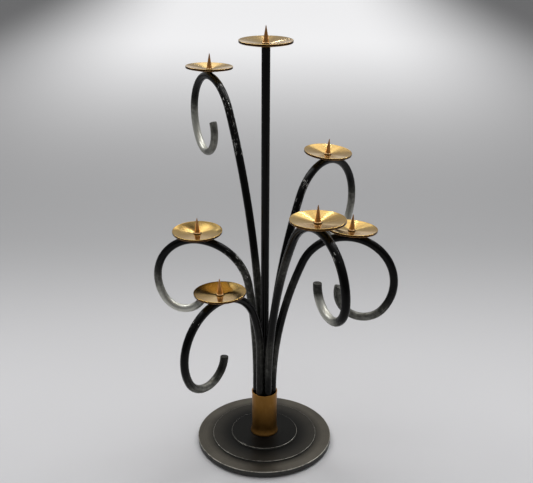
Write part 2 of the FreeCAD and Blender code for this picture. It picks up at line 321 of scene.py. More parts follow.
class NodeGraph:
    """A tree of shader nodes."""

    def __init__(self, tree: bpy.types.NodeTree) -> None:
        """Work on a tree."""
        self.tree = tree

    def add(self, kind: str, inputs: dict[str | int, Input] | None = None, **fields: object) -> Node:
        """Add a node.

        Args:
            kind: Type of the node.
            inputs: Values or sockets for its inputs, by name or number.
            **fields: Its settings.

        Returns:
            The node.
        """
        node = self.tree.nodes.new(kind)
        for name, value in fields.items():
            setattr(node, name, value)
        for name, value in (inputs or {}).items():
            self.feed(node.inputs[name], value)
        return node

    def feed(self, socket: Socket, value: Input) -> None:
        """Link a socket to another one, or set its value.

        Args:
            socket: The socket to feed.
            value: Another node's output, or a plain value.
        """
        if isinstance(value, Socket):
            self.tree.links.new(value, socket)
        else:
            socket.default_value = value

    def maths(self, operation: str, first: Input, second: Input = 0.0, clamp: bool = False) -> Socket:
        """Return the result of one step of arithmetic."""
        inputs = {0: first, 1: second}
        return self.add("ShaderNodeMath", inputs, operation=operation, use_clamp=clamp).outputs[0]

    def plus(self, first: Input, second: Input, clamp: bool = False) -> Socket:
        """Return the sum of two values."""
        return self.maths("ADD", first, second, clamp)

    def minus(self, first: Input, second: Input, clamp: bool = False) -> Socket:
        """Return the first value less the second."""
        return self.maths("SUBTRACT", first, second, clamp)

    def times(self, first: Input, second: Input, clamp: bool = False) -> Socket:
        """Return the product of two values."""
        return self.maths("MULTIPLY", first, second, clamp)

    def most(self, first: Input, second: Input) -> Socket:
        """Return the larger of two values."""
        return self.maths("MAXIMUM", first, second)

    def split(self, vector: Input) -> tuple[Socket, ...]:
        """Return the three parts of a vector."""
        return tuple(self.add("ShaderNodeSeparateXYZ", {0: vector}).outputs)

    def radius(self, place: Input) -> Socket:
        """Return the distance of a place from the upright axis."""
        squares = [self.maths("POWER", part, 2) for part in self.split(place)[:2]]
        return self.maths("SQRT", self.plus(*squares))

    def noise(self, place: Input, scale: float, detail: float = 2.0, rough: float = 0.5) -> Socket:
        """Return cloudy noise between 0 and 1 at a place."""
        inputs = {"Vector": place, "Scale": scale, "Detail": detail, "Roughness": rough}
        return self.add("ShaderNodeTexNoise", inputs).outputs["Fac"]

    def streaks(self, place: Input, scale: Place, detail: float = 2.0) -> Socket:
        """Return noise that is drawn out, with a scale of its own along each axis."""
        drawn = self.add("ShaderNodeMapping", {"Vector": place, "Scale": scale}).outputs[0]
        return self.noise(drawn, 1.0, detail)

    def lines(self, along: Input, scale: float, detail: float = 2.0) -> Socket:
        """Return noise that changes along one value only."""
        inputs = {"W": along, "Scale": scale, "Detail": detail}
        return self.add("ShaderNodeTexNoise", inputs, noise_dimensions="1D").outputs["Fac"]

    def swing(self, noise: Input, width: float) -> Socket:
        """Return noise as a swing to both sides of nought."""
        return self.times(self.minus(noise, 0.5), width)

    def ramp(self, value: Input, low: float, high: float, start: float = 0.0, end: float = 1.0) -> Socket:
        """Return a smooth change from start to end while a value goes from low to high."""
        inputs = {"Value": value, "From Min": low, "From Max": high, "To Min": start, "To Max": end}
        return self.add("ShaderNodeMapRange", inputs, interpolation_type="SMOOTHSTEP").outputs[0]

    def band(self, value: Input, middle: float, half_width: float, soft: float) -> Socket:
        """Return 1 where a value is near the middle of a band, and 0 away from it."""
        away = self.maths("ABSOLUTE", self.minus(value, middle))
        return self.ramp(away, half_width, half_width + soft, 1.0, 0.0)

    def mix(self, share: Input, first: Input, second: Input) -> Socket:
        """Mix two colours.

        Args:
            share: Share of the second colour.
            first: A colour.
            second: Another colour.

        Returns:
            The mixed colour.
        """
        node = self.add("ShaderNodeMix", data_type="RGBA")
        self.feed(node.inputs["Factor"], share)
        colours = [socket for socket in node.inputs if socket.type == "RGBA"]
        for socket, colour in zip(colours, (first, second)):
            self.feed(socket, (*colour, 1.0) if isinstance(colour, tuple) else colour)
        return next(socket for socket in node.outputs if socket.type == "RGBA")

    def bump(self, height: Input, depth: float, strength: float) -> Socket:
        """Return the normal of a surface raised by a height."""
        inputs = {"Height": height, "Distance": depth, "Strength": strength}
        return self.add("ShaderNodeBump", inputs).outputs["Normal"]


class FinishGraph(NodeGraph):
    """The node tree of one finish."""

    def __init__(self, name: str) -> None:
        """Start a material with a principled shader.

        Args:
            name: Name of the material.
        """
        self.material = bpy.data.materials.new(name)
        self.material.use_nodes = True
        super().__init__(self.material.node_tree)
        self.shader = next(node for node in self.tree.nodes if node.type == "BSDF_PRINCIPLED")

    def surface(self, inputs: dict[str, Input]) -> Material:
        """Set the shader's sockets.

        Args:
            inputs: Value or source of each socket, by name.

        Returns:
            The finished material.
        """
        for name, value in inputs.items():
            plain_colour = isinstance(value, tuple) and name.endswith("Color")
            self.feed(self.shader.inputs[name], (*value, 1.0) if plain_colour else value)
        return self.material

    def object_place(self) -> Socket:
        """Return the place in the object's coordinates."""
        return self.add("ShaderNodeTexCoord").outputs["Object"]

    def own_place(self) -> Socket:
        """Return the place in the piece's own frame."""
        return self.add("ShaderNodeAttribute", attribute_name=OWN_PLACE).outputs["Vector"]

    def mask(self, name: str) -> Socket:
        """Return a stored value of the mesh."""
        return self.add("ShaderNodeAttribute", attribute_name=name).outputs["Fac"]

    def turned_tangent(self) -> Socket:
        """Return the direction round the upright axis."""
        return self.add("ShaderNodeTangent", direction_type="RADIAL", axis="Z").outputs[0]


@dataclass(frozen=True)
class BlackenedBar:
    """Black satin on drawn steel, rubbed through on the bends and fading to bare steel round the loops, with
    painted sheen of lighter steel along some stretches of the bars.
    """

    black: Colour = (0.0026, 0.0026, 0.0025)
    steel: Colour = (0.54, 0.54, 0.485)
    dull_steel: Colour = (0.14, 0.14, 0.12)
    bright_steel: Colour = (0.85, 0.84, 0.80)
    rust: Colour = (0.085, 0.045, 0.026)
    black_roughness: float = 0.22
    black_gloss: float = 0.12
    steel_roughness: float = 0.45
    steel_metal: float = 0.92
    streak_scale: Place = (900.0, 900.0, 14.0)
    streak_swing: float = 0.3
    patch_scale: float = 160.0
    patch_swing: float = 0.22
    fade_range: Range = (0.0, 0.2)
    scratch_scale: Place = (1500.0, 1500.0, 80.0)
    scratch_bias: float = 0.1
    scratch_range: Range = (0.62, 0.70)
    scratch_breaks: Range = (0.45, 0.6)
    scuff_range: Range = (0.02, 0.3)
    grain_range: Range = (0.55, 1.5)
    grain_depth: float = 0.00004
    grain_strength: float = 0.3
    speck_scale: float = 520.0
    rust_specks: Range = (0.7, 0.77)
    rust_patches: Range = (0.5, 0.62)
    rust_share: float = 0.6

    def material(self) -> Material:
        """Build the finish.

        Returns:
            The material.
        """
        graph = FinishGraph("blackened_bar")
        place = graph.own_place()
        streaks = graph.streaks(place, self.streak_scale, detail=3.0)
        scratches = graph.streaks(place, self.scratch_scale, detail=3.0)
        patches = graph.noise(place, self.patch_scale, detail=4.0, rough=0.6)
        specks = graph.noise(place, self.speck_scale)

        uneven = graph.swing(patches, self.patch_swing)
        streaky = graph.swing(streaks, self.streak_swing)
        # Bareness of the black, together with painted sheen.
        bare_and_sheen = graph.mask(BARE_AND_SHEEN)
        worn = graph.plus(bare_and_sheen, graph.plus(uneven, streaky))
        bare = graph.times(graph.ramp(worn, 0.0, 1.0), graph.ramp(bare_and_sheen, *self.fade_range))

        scuff = graph.mask(SCUFF)
        fine = graph.times(scratches, graph.plus(scuff, self.scratch_bias))
        broken = graph.times(graph.ramp(fine, *self.scratch_range), graph.ramp(patches, *self.scratch_breaks))
        scratched = graph.times(broken, graph.ramp(scuff, *self.scuff_range))
        shown = graph.most(bare, scratched)

        grain = graph.ramp(graph.plus(graph.plus(streaky, patches), bare_and_sheen), *self.grain_range)
        rusty = graph.times(graph.ramp(specks, *self.rust_specks), graph.ramp(patches, *self.rust_patches))
        steel = graph.mix(grain, self.dull_steel, self.steel)
        steel = graph.mix(graph.times(rusty, self.rust_share), steel, self.rust)
        steel = graph.mix(scratched, steel, self.bright_steel)
        rough = (self.black_roughness, self.steel_roughness)
        return graph.surface({
            "Base Color": graph.mix(shown, self.black, steel),
            "Metallic": graph.times(shown, self.steel_metal),
            "Roughness": graph.ramp(graph.plus(shown, uneven), 0.0, 1.0, *rough),
            "Specular IOR Level": self.black_gloss,
            "Normal": graph.bump(graph.plus(streaks, scratches), self.grain_depth, self.grain_strength),
        })


@dataclass(frozen=True)
class TurnedBrass:
    """Bright brass with fine lathe rings, painted shade round the foot of the spike, and a bright lip above
    an outer edge painted dark with painted shade and striped with painted reflection.

    Rings and bands are measured from the radius or level of the pan that they lie at.
    """

    edge_radius: float
    lip_level: float
    floor_level: float
    spike_radius: float
    brass: Colour = (0.81, 0.555, 0.19)
    dull_brass: Colour = (0.65, 0.395, 0.12)
    # Painted shade: round the foot of the spike, and the dark of the outer edge.
    painted_shade: Colour = (0.05, 0.025, 0.01)
    # Painted shade, less deep, on the lower part of the outer edge.
    brown: Colour = (0.23, 0.11, 0.028)
    roughness: float = 0.105
    rough_spread: Range = (0.0, 0.06)
    rough_range: Range = (0.6, 1.4)
    anisotropy: float = 0.6
    mark_scale: float = 2600.0
    mark_share: float = 0.6
    sweep_scale: float = 330.0
    cloud_scale: float = 60.0
    dull_range: Range = (0.5, 1.15)
    # Painted shade on the pan's floor round the foot of the spike.
    shade_ring: Range = (0.0007, 0.0015)
    shade_band: Range = (-0.0003, -0.0001)
    shade_share: float = 0.9
    edge_ring: Range = (-0.0007, -0.0002)
    lip_band: Range = (-0.0004, -0.0001)
    # Painted shade on the outer edge, darkest just below the lip.
    rim_shade_band: Range = (-0.0026, -0.0018)
    rim_shade_above: float = 0.12
    # Painted reflection: stripes on the outer edge.
    reflection_stripe_scale: Place = (420.0, 420.0, 12.0)
    reflection_stripe_range: Range = (0.75, 1.2)
    reflection_stripe_share: Range = (0.25, 1.0)

    def material(self) -> Material:
        """Build the finish.

        Returns:
            The material.
        """
        graph = FinishGraph("turned_brass")
        place = graph.own_place()
        radius = graph.radius(place)
        height = graph.split(place)[2]
        marks = graph.lines(radius, self.mark_scale, detail=3.0)
        sweeps = graph.lines(radius, self.sweep_scale)
        clouds = graph.noise(place, self.cloud_scale, detail=3.0)
        # Stripes of painted reflection on the outer edge.
        reflected_stripes = graph.streaks(place, self.reflection_stripe_scale)

        dull = graph.ramp(graph.plus(graph.times(marks, self.mark_share), clouds), *self.dull_range)
        colour = graph.mix(dull, self.brass, self.dull_brass)
        # Painted shade round the foot of the spike.
        shaded = graph.ramp(radius, *around(self.spike_radius, self.shade_ring), self.shade_share, 0.0)
        shaded = graph.times(shaded, graph.ramp(height, *around(self.floor_level, self.shade_band)))
        colour = graph.mix(shaded, colour, self.painted_shade)

        # The outer edge below the lip: painted shade, with stripes of painted reflection.
        outside = graph.ramp(radius, *around(self.edge_radius, self.edge_ring))
        below_lip = graph.ramp(height, *around(self.lip_level, self.lip_band), 1.0, 0.0)
        low = graph.ramp(height, *around(self.lip_level, self.rim_shade_band), 1.0, self.rim_shade_above)
        stripe_reflection = graph.ramp(graph.plus(reflected_stripes, clouds), *self.reflection_stripe_range, *self.reflection_stripe_share)
        edge = graph.mix(graph.times(low, stripe_reflection), self.painted_shade, self.brown)
        rough = around(self.roughness, self.rough_spread)
        return graph.surface({
            "Base Color": graph.mix(graph.times(outside, below_lip), colour, edge),
            "Metallic": 1.0,
            "Roughness": graph.ramp(graph.plus(sweeps, clouds), *self.rough_range, *rough),
            "Anisotropic": self.anisotropy,
            "Anisotropic Rotation": ACROSS_MARKS,
            "Tangent": graph.turned_tangent(),
        })


@dataclass(frozen=True)
class SpikeBrass:
    """Reddish brass of the turned spikes, darker towards the point, lighter on the foot ring, and with
    painted shade at the foot of the ring.
    """

    floor_level: float
    ring_level: float
    tip_level: float
    brass: Colour = (0.80, 0.42, 0.15)
    brown: Colour = (0.54, 0.25, 0.085)
    bright: Colour = (0.85, 0.60, 0.32)
    # Painted shade where the ring meets the pan.
    foot_shade: Colour = (0.05, 0.022, 0.008)
    roughness: float = 0.3
    rough_spread: Range = (-0.06, 0.1)
    rough_range: Range = (0.2, 0.8)
    brown_share: Range = (0.1, 0.75)
    cloud_scale: float = 240.0
    cloud_swing: float = 0.8
    bright_band: Range = (0.0, 0.0002)
    shade_band: Range = (0.0003, 0.0006)
    shade_share: float = 0.9
    mark_scale: float = 1800.0
    mark_depth: float = 0.00003
    mark_strength: float = 0.5

    def material(self) -> Material:
        """Build the finish.

        Returns:
            The material.
        """
        graph = FinishGraph("spike_brass")
        place = graph.own_place()
        height = graph.split(place)[2]
        marks = graph.lines(height, self.mark_scale)
        clouds = graph.noise(place, self.cloud_scale, detail=3.0)
        tone = graph.ramp(height, self.ring_level, self.tip_level, *self.brown_share)
        tone = graph.plus(tone, graph.swing(clouds, self.cloud_swing), clamp=True)
        on_ring = graph.ramp(height, *around(self.ring_level, self.bright_band), 1.0, 0.0)
        colour = graph.mix(on_ring, graph.mix(tone, self.brass, self.brown), self.bright)
        # Painted shade at the foot of the ring.
        shaded = graph.ramp(height, *around(self.floor_level, self.shade_band), self.shade_share, 0.0)
        return graph.surface({
            "Base Color": graph.mix(shaded, colour, self.foot_shade),
            "Metallic": 1.0,
            "Roughness": graph.ramp(marks, *self.rough_range, *around(self.roughness, self.rough_spread)),
            "Normal": graph.bump(marks, self.mark_depth, self.mark_strength),
        })


@dataclass(frozen=True)
class AgedBrass:
    """Drawn brass sleeve gone brown, lighter at its mouth and along its foot."""

    foot_level: float
    mouth_level: float
    brass: Colour = (0.47, 0.25, 0.07)
    brown: Colour = (0.30, 0.147, 0.032)
    roughness: float = 0.36
    rough_spread: Range = (-0.06, 0.1)
    rough_range: Range = (0.25, 0.75)
    dark_height: float = 0.027
    mouth_share: float = 0.1
    foot_band: Range = (0.003, 0.007)
    foot_share: float = 0.25
    streak_scale: Place = (420.0, 420.0, 60.0)
    streak_share: float = 0.6
    cloud_scale: float = 95.0
    mean_tone: float = 0.8
    tone_share: float = 0.9
    pit_scale: float = 900.0
    pit_depth: float = 0.00005
    pit_strength: float = 0.35

    def material(self) -> Material:
        """Build the finish.

        Returns:
            The material.
        """
        graph = FinishGraph("aged_brass")
        place = graph.own_place()
        height = graph.split(place)[2]
        clouds = graph.noise(place, self.cloud_scale, detail=4.0, rough=0.6)
        streaks = graph.streaks(place, self.streak_scale, detail=3.0)
        pits = graph.noise(place, self.pit_scale)
        darkest = self.foot_level + self.dark_height
        mouth = graph.ramp(height, darkest, self.mouth_level, 0.0, self.mouth_share)
        foot = graph.ramp(height, *around(self.foot_level, self.foot_band), self.foot_share, 0.0)
        uneven = graph.minus(graph.plus(clouds, graph.times(streaks, self.streak_share)), self.mean_tone)
        tone = graph.plus(graph.most(mouth, foot), graph.times(uneven, self.tone_share), clamp=True)
        return graph.surface({
            "Base Color": graph.mix(tone, self.brown, self.brass),
            "Metallic": 0.95,
            "Roughness": graph.ramp(clouds, *self.rough_range, *around(self.roughness, self.rough_spread)),
            "Normal": graph.bump(graph.plus(streaks, pits), self.pit_depth, self.pit_strength),
        })


@dataclass(frozen=True)
class TurnedIron:
    """Blackened turned iron, greyer on the outer ring and rubbed along the edges of its tiers, with painted
    light on the walls of its tiers and on its outer side.
    """

    outer_radius: float
    step_radius: float
    crown_radius: float
    edge_level: float
    tier_rise: float
    black: Colour = (0.005, 0.0049, 0.0044)
    grey: Colour = (0.098, 0.089, 0.074)
    # Painted light: a lighter, non-metal grey for the walls of the tiers and the outer side, in place of
    # their shade.
    lit_side: Colour = (0.07, 0.0695, 0.065)
    worn: Colour = (0.52, 0.50, 0.44)
    green: Colour = (0.075, 0.10, 0.05)
    roughness: float = 0.34
    rough_spread: Range = (-0.05, 0.12)
    rough_range: Range = (0.3, 1.2)
    gloss: float = 0.06
    anisotropy: float = 0.75
    mark_scale: float = 900.0
    mark_share: float = 0.5
    mark_depth: float = 0.00004
    mark_strength: float = 0.3
    cloud_scale: float = 38.0
    scuff_scale: float = 210.0
    top_band: Range = (-0.0012, -0.0002)
    outer_margins: Range = (0.001, 0.008)
    outer_share: float = 0.66
    middle_share: float = 0.34
    uneven_range: Range = (0.35, 1.05)
    uneven_share: Range = (0.55, 1.0)
    moss_clouds: Range = (0.6, 0.72)
    moss_scuffs: Range = (0.5, 0.7)
    moss_share: float = 0.5
    line_width: float = 0.00016
    line_soft: float = 0.0003
    rim_width: float = 0.0005
    wall_band: Range = (-0.0005, -0.0003)
    rub_range: Range = (0.72, 1.2)
    rub_share: Range = (0.15, 1.0)
    metal_range: Range = (0.0, 0.6)
    metal_share: Range = (0.2, 0.95)

    def material(self) -> Material:
        """Build the finish.

        Returns:
            The material.
        """
        graph = FinishGraph("turned_iron")
        place = graph.own_place()
        radius = graph.radius(place)
        height = graph.split(place)[2]
        marks = graph.lines(radius, self.mark_scale, detail=3.0)
        clouds = graph.noise(place, self.cloud_scale, detail=4.0, rough=0.6)
        scuffs = graph.noise(place, self.scuff_scale, detail=3.0)

        on_top = graph.ramp(height, *around(self.edge_level, self.top_band))
        outer_start = self.step_radius - self.outer_margins[0]
        outer_end = self.outer_radius - self.outer_margins[1]
        outer = graph.ramp(radius, outer_start, outer_end, 0.0, self.outer_share)
        middle = graph.ramp(radius, self.crown_radius, self.step_radius, 0.0, self.middle_share)
        uneven = graph.plus(graph.times(marks, self.mark_share), clouds)
        tone = graph.times(graph.plus(outer, middle), on_top)
        tone = graph.times(tone, graph.ramp(uneven, *self.uneven_range, *self.uneven_share))
        mossy = graph.ramp(scuffs, *self.moss_scuffs, 0.0, self.moss_share)
        mossy = graph.times(graph.ramp(clouds, *self.moss_clouds), mossy)
        colour = graph.mix(tone, self.black, self.grey)
        colour = graph.mix(graph.times(mossy, outer), colour, self.green)

        lines, walls = [], []
        for tier, tier_radius in enumerate((self.step_radius, self.crown_radius), start=1):
            tier_top = self.edge_level + tier * self.tier_rise
            lines.append(graph.band(radius, tier_radius, self.line_width, self.line_soft))
            under_top = graph.ramp(height, *around(tier_top, self.wall_band), 1.0, 0.0)
            walls.append(graph.times(lines[-1], under_top))
        # Painted light on the walls of the tiers and the outer side, which are also made non-metal.
        sides = graph.most(graph.most(*walls), graph.minus(1.0, on_top))
        rim = graph.times(graph.band(radius, self.outer_radius, self.rim_width, self.line_soft), on_top)
        edges = graph.most(graph.minus(graph.most(*lines), sides, clamp=True), rim)
        rubbed = graph.ramp(graph.plus(scuffs, clouds), *self.rub_range, *self.rub_share)
        rubbed = graph.times(edges, rubbed)
        metal = graph.ramp(graph.most(tone, rubbed), *self.metal_range, *self.metal_share)
        return graph.surface({
            "Base Color": graph.mix(rubbed, graph.mix(sides, colour, self.lit_side), self.worn),
            "Metallic": graph.times(metal, graph.minus(1.0, sides)),
            "Roughness": graph.ramp(uneven, *self.rough_range, *around(self.roughness, self.rough_spread)),
            "Specular IOR Level": self.gloss,
            "Anisotropic": self.anisotropy,
            "Anisotropic Rotation": ACROSS_MARKS,
            "Tangent": graph.turned_tangent(),
            "Normal": graph.bump(marks, self.mark_depth, self.mark_strength),
        })


@dataclass(frozen=True)
class ZincSteel:
    """Zinc-plated fixings under the foot."""

    zinc: Colour = (0.42, 0.43, 0.44)
    shade: Colour = (0.25, 0.26, 0.27)
    roughness: Range = (0.32, 0.5)
    rough_range: Range = (0.3, 0.7)
    cloud_scale: float = 300.0

    def material(self) -> Material:
        """Build the finish.

        Returns:
            The material.
        """
        graph = FinishGraph("zinc_steel")
        clouds = graph.noise(graph.object_place(), self.cloud_scale, detail=3.0)
        return graph.surface({
            "Base Color": graph.mix(clouds, self.shade, self.zinc),
            "Metallic": 0.9,
            "Roughness": graph.ramp(clouds, *self.rough_range, *self.roughness),
        })


@dataclass(frozen=True)
class WoolFelt:
    """Dark pressed felt under the foot."""

    dark: Colour = (0.008, 0.011, 0.009)
    light: Colour = (0.03, 0.036, 0.032)
    cloud_scale: float = 240.0
    cloud_bias: float = 0.5
    fibre_scale: float = 2600.0
    fibre_depth: float = 0.00025
    fibre_strength: float = 0.6

    def material(self) -> Material:
        """Build the finish.

        Returns:
            The material.
        """
        graph = FinishGraph("wool_felt")
        place = graph.object_place()
        fibres = graph.noise(place, self.fibre_scale, detail=4.0, rough=0.7)
        clouds = graph.noise(place, self.cloud_scale, detail=3.0)
        tone = graph.times(fibres, graph.plus(clouds, self.cloud_bias), clamp=True)
        return graph.surface({
            "Base Color": graph.mix(tone, self.dark, self.light),
            "Roughness": 0.95,
            "Specular IOR Level": 0.2,
            "Sheen Weight": 0.3,
            "Normal": graph.bump(fibres, self.fibre_depth, self.fibre_strength),
        })


@dataclass
class Foot:
    """The stepped iron foot on its felt, with the washer and nut that clamp the post from below."""

    radius: float = 0.0875
    step_radius: float = 0.0675
    crown_radius: float = 0.043
    felt_thickness: float = 0.0015
    edge_height: float = 0.0071
    tier_rise: float = 0.0022
    socket_radius: float = 0.0152
    socket_depth: float = 0.0025
    edge_round: float = 0.0009
    tier_round: float = 0.0004
    hem_chamfer: float = 0.0006
    felt_inset: float = 0.004
    felt_round: float = 0.00045
    sides: int = 192

    @property
    def tiers(self) -> list[float]:
        """Radius of each tier from below, and of the socket."""
        return [self.radius, self.step_radius, self.crown_radius, self.socket_radius]

    @property
    def felt_radius(self) -> float:
        """Radius of the felt."""
        return self.radius - self.felt_inset

    @property
    def edge_level(self) -> float:
        """Level of the lowest tier."""
        return self.felt_thickness + self.edge_height

    @property
    def crown_level(self) -> float:
        """Level of the highest tier."""
        return self.edge_level + 2 * self.tier_rise

    @property
    def socket_level(self) -> float:
        """Level of the floor of the socket, where the bars stand."""
        return self.crown_level - self.socket_depth

    def shape_plate(self) -> Piece:
        """Raise the tiers from a disc, sink the socket and round the edges.

        Returns:
            The plate.
        """
        work = Workpiece.from_disc("stepped_foot", self.radius, self.sides, self.felt_thickness)
        work.raise_by(self.edge_height / 2)
        work.raise_by(self.edge_height / 2)
        for start, end in zip(self.tiers, self.tiers[1:]):
            if start < self.radius:
                work.raise_by(self.tier_rise)
            work.inset(HOLD)
            work.inset(start - HOLD - end)
        work.raise_by(-self.socket_depth)
        work.close()
        work.round_rings([(self.radius, self.edge_level)], self.edge_round, segments=5)
        work.round_rings([(self.radius, self.felt_thickness)], self.hem_chamfer, segments=1)
        step_edge = (self.step_radius, self.edge_level + self.tier_rise)
        crown_edge = (self.crown_radius, self.crown_level)
        work.round_rings([step_edge, crown_edge], self.tier_round, segments=4)
        return work.lift_off()

    def shape_felt(self) -> Piece:
        """Cut the felt disc, with soft edges.

        Returns:
            The disc.
        """
        radius = self.felt_radius
        work = Workpiece.from_disc("felt_disc", radius, self.sides)
        work.raise_by(self.felt_thickness)
        work.close()
        work.round_rings([(radius, 0), (radius, self.felt_thickness)], self.felt_round, segments=4)
        return work.lift_off()

    def build(self) -> None:
        """Build the foot's pieces and dress them."""
        plate = self.shape_plate()
        note_own_place(plate)
        iron = TurnedIron(self.radius, self.step_radius, self.crown_radius, self.edge_level, self.tier_rise)
        hand_over(plate, "base_plate", iron.material())
        disc = self.shape_felt()
        hand_over(disc, "felt_pad", WoolFelt().material())
        plated = ZincSteel().material()
        for node in ("post_washer", "post_nut"):
            dress(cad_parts[node], plated)
            log.info("%s: %s", node, plated.name)


@dataclass
class Collar:
    """The brass sleeve round the bundle of bars, flared at its foot and a little at its mouth."""

    base_level: float
    bore_radius: float
    wall: float = 0.001
    height: float = 0.0604
    foot_flare: float = 0.0017
    foot_edge: float = 0.0014
    foot_height: float = 0.011
    lip_flare: float = 0.0004
    lip_height: float = 0.014
    edge_round: float = 0.0003
    flare_steps: int = 10
    sides: int = 128

    def build(self) -> None:
        """Turn the sleeve and dress it."""
        waist = self.bore_radius + self.wall
        foot = (waist + self.foot_flare, self.foot_edge)
        lip = (waist + self.lip_flare, self.height)
        hem = (foot[0], 0.0)
        mouth = (self.bore_radius, self.height)
        outline = [(self.bore_radius, 0.0), hem]
        outline += arc_spots(foot, (waist, self.foot_height), self.flare_steps)
        outline += reversed(arc_spots(lip, (waist, self.height - self.lip_height), self.flare_steps))
        outline.append(mouth)
        work = Workpiece.turned("brass_sleeve", outline, self.sides)
        work.round_rings([lip, mouth, foot, hem], self.edge_round, segments=3)
        sleeve = work.lift_off()
        set_down(sleeve, Matrix.Translation((0, 0, self.base_level)))
        note_own_place(sleeve)
        brass = AgedBrass(foot_level=self.base_level, mouth_level=self.base_level + self.height)
        hand_over(sleeve, "collar", brass.material())


@dataclass(frozen=True)
class ScuffAndSheen:
    """A stretch of a bar between two distances along it, used both for scuffs and for painted sheen."""

    start: float
    end: float
    strength: float = 1.0
    fade: float = 0.02

    def at(self, along: float) -> float:
        """Return how strong the stretch is at a distance along it."""
        inside = min(along - self.start, self.end - along) / self.fade
        return self.strength * max(0.0, min(1.0, inside))


@dataclass
class Post:
    """The straight bar in the middle, with its shank in the foot. Its stretch of painted sheen is measured
    from its top.
    """

    socket_level: float
    shank_end: float = 0.0019
    shank_radius: float = 0.004
    length: float = 0.5063
    # A stretch of painted sheen: lighter steel painted where light falls on the post.
    painted_sheen: ScuffAndSheen = ScuffAndSheen(-0.38, -0.22, 0.3, 0.04)
    sides: int = 48

    @property
    def top_level(self) -> float:
        """Level of the top of the post, where its pan sits."""
        return self.socket_level + self.length

    def build(self, finish: Material) -> None:
        """Turn the post and dress it.

        Args:
            finish: Finish of the bars.
        """
        outline = [
            (0.0, self.shank_end),
            (self.shank_radius, self.shank_end),
            (self.shank_radius, self.socket_level),
            (BAR_RADIUS, self.socket_level),
            (BAR_RADIUS, self.top_level - HOLD),
            (BAR_RADIUS, self.top_level),
            (0.0, self.top_level),
        ]
        work = Workpiece.turned("straight_bar", outline, self.sides)
        work.round_rings([(BAR_RADIUS, self.top_level)], BAR_CHAMFER, segments=2)
        bar = work.lift_off()
        note_own_place(bar)
        # The post stores only its painted sheen as bareness.
        note(bar, BARE_AND_SHEEN, [self.painted_sheen.at(vert.co.z - self.top_level) for vert in bar.data.vertices])
        note(bar, SCUFF, [0.0] * len(bar.data.vertices))
        hand_over(bar, "centre_post", finish)


